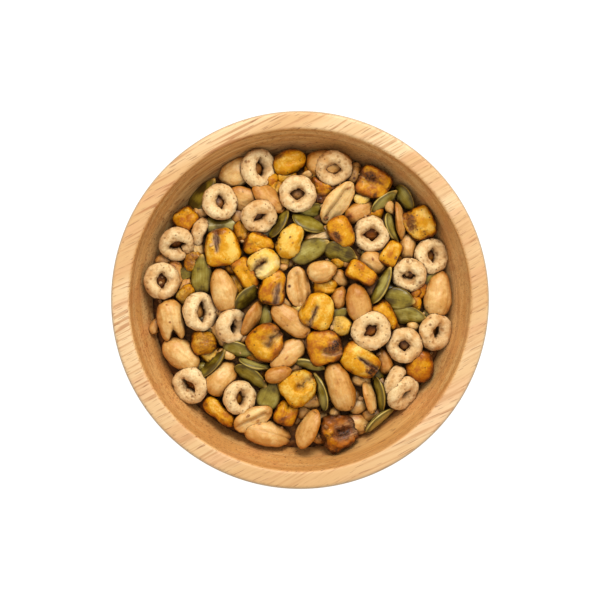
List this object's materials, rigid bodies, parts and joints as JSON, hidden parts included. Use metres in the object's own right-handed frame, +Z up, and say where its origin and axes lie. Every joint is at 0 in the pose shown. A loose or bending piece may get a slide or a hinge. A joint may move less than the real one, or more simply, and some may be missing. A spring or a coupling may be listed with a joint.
{
  "type": "bowl of trail mix",
  "caption": "Round turned wooden bowl filled to below its rim with a loose snack mix of oat rings, toasted corn, peanuts and pumpkin seeds.",
  "frame": {"origin": "middle of the flat foot that the bowl stands on", "axes": "+Z up out of the bowl's mouth, +X to the right and +Y away from a person who looks down on it"},
  "size_m": [0.135, 0.135, 0.052],
  "materials": {
    "turned_wood": "pale straight-grained wood, turned and oiled to a low sheen",
    "toasted_mix": "dry toasted cereal, corn, nuts and seeds, matte with a faint oily sheen on the nuts"
  },
  "bodies": {
    "root": {"bowl": "turned_wood", "trail_mix": "toasted_mix"}
  },
  "joints": []
}
